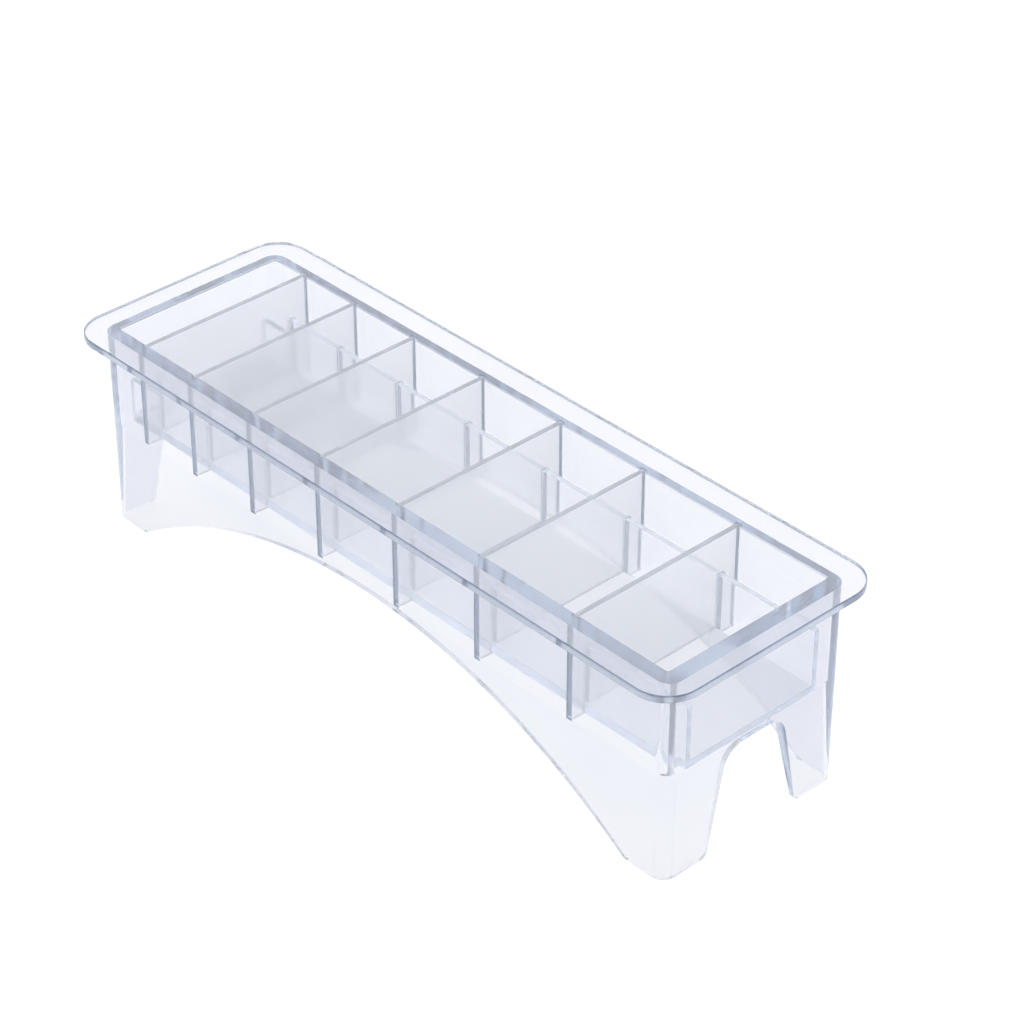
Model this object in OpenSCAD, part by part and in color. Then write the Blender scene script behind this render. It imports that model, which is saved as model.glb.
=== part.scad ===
// Clear sorting tray: a long low tray on four legs, split into eight bins by lift-out plates.
// Origin: centre of the footprint, on the surface the feet stand on. X runs along the tray,
// Y across it and Z up. Millimetres.

/* [Rim] */
// Length of the flat rim, end to end
rim_length = 213; // [211:1:230]
// Width of the flat rim, side to side
rim_width = 70; // [68:1:80]
// Thickness of the flat rim
rim_thickness = 2; // [1.6:0.2:3]
// Radius of the rim's corners
rim_corner = 9.5; // [6:0.5:14]

/* [Walls] */
// Height from the feet to the top of the rim
tray_height = 57; // [54:1:65]
// How far the rim stands out past an end wall
end_overhang = 5.3; // [4:0.1:6]
// How far the rim stands out past a side wall
side_overhang = 6.25; // [5:0.05:7]
// Thickness of a side wall around the bins
side_wall = 3; // [2.6:0.1:3.4]
// Thickness of an end wall around the bins
end_wall = 3.4; // [2.8:0.1:3.8]
// Thickness of every wall at the feet
foot_wall = 1.4; // [1.2:0.1:2.4]
// Radius of the walls' upright outer corners
wall_corner = 3.8; // [3.6:0.1:6]

/* [Stand] */
// Height of the hollow under the floor
under_height = 28.4; // [26:0.2:30]
// Distance between the feet across a side arch
arch_span = 177.4; // [150:0.2:180]
// Rounding where an arch meets a foot
arch_foot_round = 3; // [1:0.5:5]
// Width of an end notch at its top, before rounding
notch_top_width = 18.4; // [14:0.2:20]
// Width of an end notch between the feet
notch_foot_width = 29.6; // [24:0.2:32]
// Rounding of an end notch's upper corners
notch_top_round = 6; // [3:0.5:7]
// Rounding where an end notch meets a foot
notch_foot_round = 2; // [1:0.5:3]

/* [Trough] */
// Thickness of the floor
floor_thickness = 2; // [1.4:0.2:2.6]
// Clear width of the floor between the low walls
trough_width = 39.6; // [36:0.2:41]
// Thickness of a low wall
low_wall = 1.5; // [1.2:0.1:1.8]
// Height of the low walls above the floor
low_wall_height = 15.3; // [10:0.1:17]
// How much lower the low walls are in the first bin
first_bin_step = 5; // [0:0.5:6]

/* [Bins] */
// From the inside of the far end wall to the first plate
pitch_1 = 11.6; // [9:0.1:13]
// From the first plate to the second
pitch_2 = 19.7; // [18:0.1:21]
// From the second plate to the third
pitch_3 = 22.8; // [21:0.1:24]
// From the third plate to the fourth
pitch_4 = 25.7; // [24:0.1:27]
// From the fourth plate to the fifth
pitch_5 = 27.9; // [26:0.1:29]
// From the fifth plate to the sixth
pitch_6 = 28.4; // [27:0.1:30]
// From the sixth plate to the seventh
pitch_7 = 30.9; // [29:0.1:32]

/* [Plates] */
// Thickness of a dividing plate
plate_thickness = 1.4; // [1:0.1:1.8]
// Depth of the guide grooves in the side walls
groove_depth = 0.7; // [0.5:0.1:1]
// Clearance between a plate and what guides it, on each side
slide_gap = 0.2; // [0.15:0.05:0.3]
// Rounding of a plate's lower corners
plate_corner = 1.5; // [0.5:0.5:2]

/* [Hidden] */
$fn = 64;

// Clear colours of the moulding and of the plates
body_colour = [0.80, 0.86, 0.93, 0.45];
plate_colour = [0.72, 0.80, 0.90, 0.55];

wall_length = rim_length - 2 * end_overhang;
wall_width = rim_width - 2 * side_overhang;
inner_length = wall_length - 2 * end_wall;
inner_width = wall_width - 2 * side_wall;
inner_corner = wall_corner - side_wall;
foot_length = wall_length - 2 * foot_wall;
foot_width = wall_width - 2 * foot_wall;

floor_top = under_height + floor_thickness;
low_wall_top = floor_top + low_wall_height;
low_wall_middle = (trough_width + low_wall) / 2;

// Arches and notches stop just under the floor
opening_rise = under_height - 0.2;

// An arch is one circle through both feet and the crown
arch_radius = (pow(arch_span / 2, 2) + pow(opening_rise, 2)) / (2 * opening_rise);
arch_centre = opening_rise - arch_radius;

// An end notch narrows upwards, so its sides lean
notch_lean = atan((notch_foot_width - notch_top_width) / 2 / opening_rise);

pitches = [pitch_1, pitch_2, pitch_3, pitch_4, pitch_5, pitch_6, pitch_7];
function pitch_sum(count) = count == 0 ? 0 : pitches[count - 1] + pitch_sum(count - 1);
divider_x = [for (count = [1:len(pitches)]) pitch_sum(count) - inner_length / 2];

// A plate stops short of the groove bottoms, and its legs end level with the floor's underside
plate_width = inner_width + 2 * (groove_depth - slide_gap);
groove_width = plate_thickness + 2 * slide_gap;
slot_width = low_wall + 2 * slide_gap;
past = 1; // how far a cut runs past the face it opens

// Rectangle with round corners, centred
module rounded_rectangle(length, width, radius) {
    square([length - 2 * radius, width], center = true);
    square([length, width - 2 * radius], center = true);
    for (x = [-1, 1], y = [-1, 1])
        translate([x * (length / 2 - radius), y * (width / 2 - radius)])
            circle(radius);
}

// Points along an arc about [x, z], from one angle to another
function arc(x, z, radius, from, to, steps) =
    [for (step = [0:steps])
        let (angle = from + (to - from) * step / steps)
            [x + radius * cos(angle), z + radius * sin(angle)]];

// Opening between two feet under a side wall: foot rounding, arch, foot rounding
module arch_outline() {
    foot_x = sqrt(pow(arch_radius + arch_foot_round, 2) - pow(arch_foot_round - arch_centre, 2));
    touch = atan((arch_foot_round - arch_centre) / foot_x);
    polygon(concat(
        [[-foot_x, -past], [foot_x, -past]],
        arc(foot_x, arch_foot_round, arch_foot_round, 270, 180 + touch, 6),
        arc(0, arch_centre, arch_radius, touch, 180 - touch, 60),
        arc(-foot_x, arch_foot_round, arch_foot_round, 360 - touch, 270, 6)));
}

// Opening between two feet under an end wall: its four corners are rounded
module notch_outline() {
    spread = tan((90 + notch_lean) / 2);
    top_x = notch_top_width / 2 - notch_top_round / spread;
    top_z = opening_rise - notch_top_round;
    foot_x = notch_foot_width / 2 + notch_foot_round / spread;
    polygon(concat(
        [[-foot_x, -past], [foot_x, -past]],
        arc(foot_x, notch_foot_round, notch_foot_round, 270, 180 + notch_lean, 6),
        arc(top_x, top_z, notch_top_round, notch_lean, 90, 10),
        arc(-top_x, top_z, notch_top_round, 90, 180 - notch_lean, 10),
        arc(-foot_x, notch_foot_round, notch_foot_round, 360 - notch_lean, 270, 6)));
}

// Upright section of the hollow under the floor, wider at the feet
module hollow_section(foot_size, top_size) {
    polygon([[-foot_size / 2, -past], [foot_size / 2, -past], [foot_size / 2, 0],
             [top_size / 2, under_height], [top_size / 2, under_height + past],
             [-top_size / 2, under_height + past], [-top_size / 2, under_height],
             [-foot_size / 2, 0]]);
}

// Hollow under the floor: the walls thin down towards the feet
module under_hollow() {
    intersection() {
        rotate([90, 0, 0])
            linear_extrude(rim_width, center = true)
                hollow_section(foot_length, inner_length);
        rotate([90, 0, 90])
            linear_extrude(rim_length, center = true)
                hollow_section(foot_width, inner_width);
    }
}

// Rim, walls and legs, open through the middle
module shell() {
    difference() {
        union() {
            translate([0, 0, tray_height - rim_thickness])
                linear_extrude(rim_thickness)
                    rounded_rectangle(rim_length, rim_width, rim_corner);
            linear_extrude(tray_height)
                rounded_rectangle(wall_length, wall_width, wall_corner);
        }
        translate([0, 0, under_height])
            linear_extrude(tray_height)
                rounded_rectangle(inner_length, inner_width, inner_corner);
        under_hollow();
        rotate([90, 0, 0])
            linear_extrude(rim_width, center = true)
                arch_outline();
        rotate([90, 0, 90])
            linear_extrude(rim_length, center = true)
                notch_outline();
        for (x = divider_x)
            translate([x, 0, under_height + tray_height / 2])
                cube([groove_width, inner_width + 2 * groove_depth, tray_height], center = true);
    }
}

// Floor and two low walls, moulded on between the end walls
module trough() {
    trough_length = inner_length + end_wall;
    half_width = trough_width / 2;
    difference() {
        rotate([90, 0, 90])
            linear_extrude(trough_length, center = true)
                polygon([[-half_width - low_wall, under_height], [half_width + low_wall, under_height],
                         [half_width + low_wall, low_wall_top], [half_width, low_wall_top],
                         [half_width, floor_top], [-half_width, floor_top],
                         [-half_width, low_wall_top], [-half_width - low_wall, low_wall_top]]);
        translate([divider_x[0] - trough_length, -rim_width / 2, low_wall_top - first_bin_step])
            cube([trough_length, rim_width, first_bin_step + past]);
    }
}

// The one-piece moulding that everything stands in
module tray_body() {
    color(body_colour) {
        shell();
        trough();
    }
}

// Outline of a dividing plate, seen along the tray
module plate_outline() {
    lower_z = under_height + plate_corner;
    difference() {
        union() {
            translate([-plate_width / 2, lower_z])
                square([plate_width, tray_height - lower_z]);
            translate([-plate_width / 2 + plate_corner, under_height])
                square([plate_width - 2 * plate_corner, plate_corner + past]);
            for (side = [-1, 1])
                translate([side * (plate_width / 2 - plate_corner), lower_z])
                    circle(plate_corner);
        }
        translate([-low_wall_middle, under_height - past])
            square([2 * low_wall_middle, past + floor_thickness + slide_gap]);
        for (side = [-1, 1])
            translate([side * low_wall_middle - slot_width / 2, under_height - past])
                square([slot_width, past + low_wall_top + slide_gap - under_height]);
    }
}

// Dividing plate: it slides down the grooves and straddles the low walls
module divider(index) {
    color(plate_colour)
        translate([divider_x[index - 1], 0, 0])
            rotate([90, 0, 90])
                linear_extrude(plate_thickness, center = true)
                    plate_outline();
}

tray_body();
divider(1);  // divider_1
divider(2);  // divider_2
divider(3);  // divider_3
divider(4);  // divider_4
divider(5);  // divider_5
divider(6);  // divider_6
divider(7);  // divider_7
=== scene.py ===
# Clear sorting tray: one moulding on four legs with seven lift-out plates, built around
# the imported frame. Metres. X runs along the tray, Y across it, Z up.
import math

import bmesh
import bpy
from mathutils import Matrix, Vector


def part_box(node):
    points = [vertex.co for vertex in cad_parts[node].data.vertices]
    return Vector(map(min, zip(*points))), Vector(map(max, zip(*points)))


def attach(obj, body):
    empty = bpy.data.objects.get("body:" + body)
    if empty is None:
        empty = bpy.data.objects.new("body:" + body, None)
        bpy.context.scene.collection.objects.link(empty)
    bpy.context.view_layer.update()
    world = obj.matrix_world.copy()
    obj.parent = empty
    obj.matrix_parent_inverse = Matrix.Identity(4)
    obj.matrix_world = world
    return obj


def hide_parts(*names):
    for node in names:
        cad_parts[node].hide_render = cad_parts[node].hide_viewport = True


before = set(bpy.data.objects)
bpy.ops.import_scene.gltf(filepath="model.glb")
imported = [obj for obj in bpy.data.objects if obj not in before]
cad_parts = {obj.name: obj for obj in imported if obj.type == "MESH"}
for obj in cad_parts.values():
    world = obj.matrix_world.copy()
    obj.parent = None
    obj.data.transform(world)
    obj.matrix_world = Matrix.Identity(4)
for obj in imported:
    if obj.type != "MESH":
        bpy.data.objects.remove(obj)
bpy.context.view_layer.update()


# ---------------------------------------------------------------- Camera
# A long lens looks down on the near corner from the front right. The tray's long side
# runs away to the upper left.
CAMERA_PLACE = (0.48612, -0.43417, 0.48721)
CAMERA_LOOKS_DOWN = 34.60
CAMERA_TURN = 47.00
LENS = 114.65
SENSOR_WIDTH = 36.0
camera_data = bpy.data.cameras.new("camera")
camera_data.sensor_width = SENSOR_WIDTH
camera_data.lens = LENS
camera_data.clip_start = 0.05
camera_data.clip_end = 20.0
camera = bpy.data.objects.new("camera", camera_data)
camera.location = CAMERA_PLACE
camera.rotation_euler = (math.radians(90 - CAMERA_LOOKS_DOWN), 0, math.radians(CAMERA_TURN))
bpy.context.scene.collection.objects.link(camera)
bpy.context.scene.camera = camera


# ---------------------------------------------------------------- Studio
# A wide white sweep lies under the tray, inside a plain white light tent: soft light comes
# from every side, and the sweep glows a little so that it stays white under the tray.
FLOOR_REACH = 6.0
FLOOR_GREY = 0.3
FLOOR_GLOW = 0.85
FLOOR_ROUGHNESS = 0.9
TENT_STRENGTH = 1.0
floor_mesh = bmesh.new()
bmesh.ops.create_circle(floor_mesh, cap_ends=True, segments=96, radius=FLOOR_REACH)
floor_data = bpy.data.meshes.new("floor")
floor_mesh.to_mesh(floor_data)
floor_mesh.free()
floor = bpy.data.objects.new("floor", floor_data)
bpy.context.scene.collection.objects.link(floor)
floor_material = bpy.data.materials.new("floor")
floor_material.use_nodes = True
floor_shader = floor_material.node_tree.nodes["Principled BSDF"]
floor_shader.inputs["Base Color"].default_value = (FLOOR_GREY, FLOOR_GREY, FLOOR_GREY, 1)
floor_shader.inputs["Emission Color"].default_value = (1, 1, 1, 1)
floor_shader.inputs["Emission Strength"].default_value = FLOOR_GLOW
floor_shader.inputs["Roughness"].default_value = FLOOR_ROUGHNESS
floor_shader.inputs["Specular IOR Level"].default_value = 0.0
floor_data.materials.append(floor_material)

world = bpy.data.worlds.new("studio")
world.use_nodes = True
tent = world.node_tree.nodes["Background"]
tent.inputs["Color"].default_value = (1, 1, 1, 1)
tent.inputs["Strength"].default_value = TENT_STRENGTH
bpy.context.scene.world = world
bpy.context.scene.view_settings.view_transform = "Standard"

# Light crosses many clear walls and turns round inside each, so its paths are let run long
light_paths = bpy.context.scene.cycles
light_paths.max_bounces = 32
light_paths.diffuse_bounces = 16
light_paths.glossy_bounces = 24
light_paths.transmission_bounces = 32


# ---------------------------------------------------------------- Tray
# The tray is one injection moulding in clear polystyrene: flat rim, upright walls, arched
# legs, floor and two low walls. Its rim's edges and its legs' inner corners are rounded.
# Its narrow faces, grooves and rounded edges carry painted shade, darker and bluer, in place
# of light that runs along inside the walls, and its faces carry a painted glow.
FLAT_ANGLE = math.radians(1)
SHARP_ANGLE = math.radians(28)
CREASE_ANGLE = math.radians(50)
MERGE_DISTANCE = 1e-6

# Every face is of one kind, which picks its colour, the plastic's tint with painted shade,
# and its painted light, an emissive colour that stands in for light in the plastic
KINDS = ("open", "bin_wall", "floor", "low_wall", "trough_edge", "narrow", "groove", "rim_side",
         "rim_radius", "edge")


def kind_value(name):
    """The place of a kind of face on the colour ramps."""
    return KINDS.index(name) / (len(KINDS) - 1)


def rounded(mesh, edges, radius, steps, kinds, kind):
    """Rounds edges and marks the new faces as one kind. The radius shrinks for all of them to
    what the shortest edge takes, which along the tray's arches is a few microns."""
    made = bmesh.ops.bevel(mesh, geom=edges, offset=radius, segments=steps, profile=0.5,
                           affect="EDGES", material=-1, clamp_overlap=True)
    for face in made["faces"]:
        face[kinds] = kind_value(kind)


def moulded(node, radius, steps, left_sharp=None, extra=()):
    """A merged copy of a CAD solid, with rounded edges and a layer of its faces' kinds. extra
    holds edges that are rounded first: their radius, their steps, which they are, their kind."""
    mesh = bmesh.new()
    mesh.from_mesh(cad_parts[node].data)
    bmesh.ops.remove_doubles(mesh, verts=mesh.verts, dist=MERGE_DISTANCE)
    bmesh.ops.dissolve_limit(mesh, angle_limit=FLAT_ANGLE, verts=mesh.verts, edges=mesh.edges)
    kinds = mesh.faces.layers.float.new("kind")
    for extra_radius, extra_steps, chosen, kind in extra:
        chosen_edges = [edge for edge in mesh.edges if chosen(edge)]
        rounded(mesh, chosen_edges, extra_radius, extra_steps, kinds, kind)
    sharp = [edge for edge in mesh.edges if edge.calc_face_angle() > SHARP_ANGLE]
    if left_sharp:
        sharp = [edge for edge in sharp if not left_sharp(edge)]
    rounded(mesh, sharp, radius, steps, kinds, "edge")
    return mesh, kinds


def finished(mesh, name, body, node, material):
    """Makes the piece from its mesh, with soft shading on its radii and none on its flats."""
    bmesh.ops.recalc_face_normals(mesh, faces=mesh.faces)
    for face in mesh.faces:
        face.smooth = True
    for edge in mesh.edges:
        edge.smooth = edge.calc_face_angle() < CREASE_ANGLE
    data = bpy.data.meshes.new(name)
    mesh.to_mesh(data)
    mesh.free()
    data.materials.append(material)
    piece = bpy.data.objects.new(name, data)
    bpy.context.scene.collection.objects.link(piece)
    piece.modifiers.new("flats", "WEIGHTED_NORMAL").keep_sharp = True
    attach(piece, body)
    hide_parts(node)


class Socket:
    """One output of a material's node, wrapped so that its maths reads as plain sums."""

    def __init__(self, nodes, output):
        self.nodes = nodes
        self.output = output

    def joined(self, operation, first, second):
        return self.nodes.make("ShaderNodeMath", {"operation": operation}, {0: first, 1: second})

    def __add__(self, other):
        return self.joined("ADD", self, other)

    def __radd__(self, other):
        return self.joined("ADD", other, self)

    def __mul__(self, other):
        return self.joined("MULTIPLY", self, other)

    def __rmul__(self, other):
        return self.joined("MULTIPLY", other, self)


class Nodes:
    """Makes any node of a material from its type, its settings and its sockets' values."""

    def __init__(self, tree):
        self.tree = tree

    def make(self, kind, settings=None, inputs=None, output=0):
        node = self.tree.nodes.new(kind)
        for name, value in (settings or {}).items():
            if name == "stops":
                ramp = node.color_ramp.elements
                while len(ramp) < len(value):
                    ramp.new(0.5)
                for stop, (place, colour) in zip(ramp, value):
                    stop.position = place
                    stop.color = colour
            else:
                setattr(node, name, value)
        for name, value in (inputs or {}).items():
            if isinstance(value, Socket):
                self.tree.links.new(value.output, node.inputs[name])
            else:
                node.inputs[name].default_value = value
        return Socket(self, node.outputs[output])


def plastic(name, clear, haze, ripple, cloud, tints_and_painted_shades, painted_glows):
    """Clear moulded plastic. clear is the share of light that passes straight through, haze
    blurs it, ripple waves the surface and cloud is the tint where the melt flowed unevenly.
    Its last two arguments hold a colour for each kind of face: the tint with painted shade, and a
    painted glow."""
    material = bpy.data.materials.new(name)
    material.use_nodes = True
    nodes = Nodes(material.node_tree)
    place = nodes.make("ShaderNodeTexCoord", output="Object")
    flow = nodes.make("ShaderNodeTexNoise",
                      inputs={"Vector": place, "Scale": 38.0, "Detail": 3.0, "Roughness": 0.5})
    grain = nodes.make("ShaderNodeTexNoise",
                       inputs={"Vector": place, "Scale": 1400.0, "Detail": 2.0, "Roughness": 0.6})
    kind = nodes.make("ShaderNodeAttribute", {"attribute_name": "kind"}, output="Fac")
    # Each kind of face picks from two ramps its tint with painted shade and its painted glow
    tint_and_painted_shade, painted_glow = [
        nodes.make("ShaderNodeValToRGB",
                   {"stops": [(kind_value(key), (*colour, 1)) for key, colour in ramp.items()]},
                   {"Fac": kind})
        for ramp in (tints_and_painted_shades, painted_glows)]
    shade = nodes.make("ShaderNodeMix", {"data_type": "RGBA", "blend_type": "MULTIPLY"},
                       {"Factor": flow, 6: tint_and_painted_shade, 7: (*cloud, 1)}, output=2)
    bump = nodes.make("ShaderNodeBump",
                      inputs={"Height": flow, "Strength": ripple, "Distance": 0.001})
    shader = material.node_tree.nodes["Principled BSDF"]
    shader.inputs["IOR"].default_value = 1.49
    shader.inputs["Transmission Weight"].default_value = clear
    # Every face glows with its kind's painted light, though the plastic is no lamp
    shader.inputs["Emission Strength"].default_value = 1.0
    for socket, value in (("Base Color", shade), ("Roughness", haze + 0.03 * grain),
                          ("Normal", bump), ("Emission Color", painted_glow)):
        material.node_tree.links.new(value.output, shader.inputs[socket])
    absorb = nodes.make("ShaderNodeVolumeAbsorption",
                        inputs={"Color": (0.24, 0.40, 0.64, 1), "Density": 17.5})
    out = material.node_tree.nodes["Material Output"]
    material.node_tree.links.new(absorb.output, out.inputs["Volume"])
    return material


# The walls' colours per kind of face: the plastic's blue tint, plus painted shade that draws dark
# outlines on edges, rim and grooves and darkens floor and narrow faces, and a painted glow
wall_plastic = plastic(
    "clear_wall", clear=0.93, haze=0.05, ripple=0.18, cloud=(0.92, 0.925, 0.94),
    tints_and_painted_shades={"open": (0.88, 0.885, 0.92), "bin_wall": (0.93, 0.935, 0.96),
           "floor": (0.765, 0.78, 0.815), "low_wall": (0.99, 0.99, 1.0),
           "trough_edge": (0.50, 0.56, 0.66), "narrow": (0.54, 0.62, 0.74),
           "groove": (0.33, 0.42, 0.56), "rim_side": (0.62, 0.67, 0.75),
           "rim_radius": (0.17, 0.23, 0.33), "edge": (0.12, 0.17, 0.25)},
    painted_glows={"open": (0.028, 0.0285, 0.030), "bin_wall": (0.030, 0.030, 0.031),
           "floor": (0.064, 0.064, 0.063), "low_wall": (0.056, 0.057, 0.060),
           "trough_edge": (0.01, 0.01, 0.01), "narrow": (0.01, 0.0105, 0.012),
           "groove": (0, 0, 0), "rim_side": (0.01, 0.0105, 0.012),
           "rim_radius": (0, 0, 0), "edge": (0, 0, 0)})

# The plates end level with the floor's underside, and their sides stand in the grooves
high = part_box("tray_body")[1]
plate_low, plate_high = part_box("divider_1")
RIM_THICKNESS = 0.002
RIM_CORNER = 0.0095
FLOOR_UNDERSIDE = plate_low.z
OVER_LOW_WALLS = FLOOR_UNDERSIDE + 0.0181
GROOVE_BOTTOM = plate_high.y + 0.00025

# How far the bins and the trough reach from the tray's middle, along it and across it, and how
# far out the legs' corners stand at least
BIN_REACH = (high.x - 0.0086, high.y - 0.0092)
TROUGH_REACH = (high.x - 0.009, high.y - 0.0134)
LEG_REACH = (high.x - 0.0165, high.y - 0.015)

# A hair takes up rounding in a place, a step the 0.2 mm by which the arches miss the floor
HAIR = 0.0001
STEP = 0.0002
LEG_CORNER_RADIUS = 0.0022
EDGE_RADIUS = 0.0003


def within(place, reach):
    """True where a place is nearer the tray's middle than a reach along it and across it."""
    return abs(place.x) < reach[0] and abs(place.y) < reach[1]


def is_leg_corner(edge):
    """The upright inner corner of a leg, where two tapering walls meet."""
    first, second = (vert.co for vert in edge.verts)
    lean = first - second
    is_long = lean.length > 0.02
    is_upright = abs(lean.z) > 0.97 * lean.length
    is_under_floor = max(first.z, second.z) < FLOOR_UNDERSIDE + STEP
    is_in_leg = abs(first.x) > LEG_REACH[0] and abs(first.y) > LEG_REACH[1]
    return is_long and is_upright and is_under_floor and is_in_leg


def on_rim_line(place):
    """True on the rim's outline: its straight sides and its round corners."""
    beyond_x = max(abs(place.x) - high.x + RIM_CORNER, 0)
    beyond_y = max(abs(place.y) - high.y + RIM_CORNER, 0)
    return abs(math.hypot(beyond_x, beyond_y) - RIM_CORNER) < 2 * HAIR


def is_rim_edge(edge):
    """The long edges round the rim's upright side, above and below."""
    first, second = (vert.co for vert in edge.verts)
    is_level = abs(first.z - second.z) < 1e-5
    is_on_rim = first.z > high.z - RIM_THICKNESS - HAIR
    return is_level and is_on_rim and on_rim_line(first) and on_rim_line(second)


def at_floor_step(edge):
    """The shallow step round the floor's underside, too small to take a radius."""
    return all(-2 * STEP < vert.co.z - FLOOR_UNDERSIDE < HAIR for vert in edge.verts)


# The rounded rim edges take the darkest painted shade, a dark outline
tray_mesh, face_kind = moulded("tray_body", EDGE_RADIUS, 2, left_sharp=at_floor_step,
                               extra=[(LEG_CORNER_RADIUS, 8, is_leg_corner, "open"),
                                      (EDGE_RADIUS, 2, is_rim_edge, "rim_radius")])
# Sorts the faces into kinds, which choose where painted shade and painted glow fall
for face in tray_mesh.faces:
    middle = face.calc_center_median()
    is_flat = face[face_kind] == kind_value("open")
    is_upright = abs(face.normal.z) < 0.5
    over_floor = FLOOR_UNDERSIDE - HAIR < middle.z < high.z - HAIR
    behind_bins = BIN_REACH[1] < abs(middle.y) < GROOVE_BOTTOM and abs(middle.x) < BIN_REACH[0]
    if over_floor and within(middle, TROUGH_REACH) and middle.z < OVER_LOW_WALLS:
        flat_kind = "low_wall" if is_upright else "floor"
        face[face_kind] = kind_value(flat_kind if is_flat else "trough_edge")
    elif over_floor and is_flat and is_upright and within(middle, BIN_REACH):
        face[face_kind] = kind_value("bin_wall")
    elif over_floor and behind_bins:
        face[face_kind] = kind_value("groove")
    elif is_flat and is_upright and on_rim_line(middle):
        face[face_kind] = kind_value("rim_side")
    elif is_flat and middle.z < FLOOR_UNDERSIDE and face.normal.z < -0.1:
        face[face_kind] = kind_value("narrow")
finished(tray_mesh, "tray_moulding", "tray", "tray_body", wall_plastic)


# ---------------------------------------------------------------- Plates
# Seven loose plates divide the tray. Each is moulded in the same clear plastic with a fine
# matt face, slides down a pair of grooves and straddles the two low walls.
PLATE_EDGE_RADIUS = 0.0002
# The plates' colours: the plastic's tint, painted shade on narrow faces and rounded edges, and a
# painted glow on every face
plate_plastic = plastic(
    "clear_plate", clear=0.82, haze=0.12, ripple=0.1, cloud=(0.95, 0.955, 0.965),
    tints_and_painted_shades={"open": (0.955, 0.96, 0.975), "narrow": (0.84, 0.87, 0.92), "edge": (0.76, 0.80, 0.86)},
    painted_glows={"open": (0.049, 0.050, 0.053), "narrow": (0.03, 0.031, 0.033),
           "edge": (0.02, 0.021, 0.023)})
for number in range(1, 8):
    plate_mesh, face_kind = moulded(f"divider_{number}", PLATE_EDGE_RADIUS, 2)
    for face in plate_mesh.faces:
        if abs(face.normal.x) < 0.9:
            face[face_kind] = kind_value("narrow")
    finished(plate_mesh, f"divider_plate_{number}", f"plate_{number}", f"divider_{number}",
             plate_plastic)
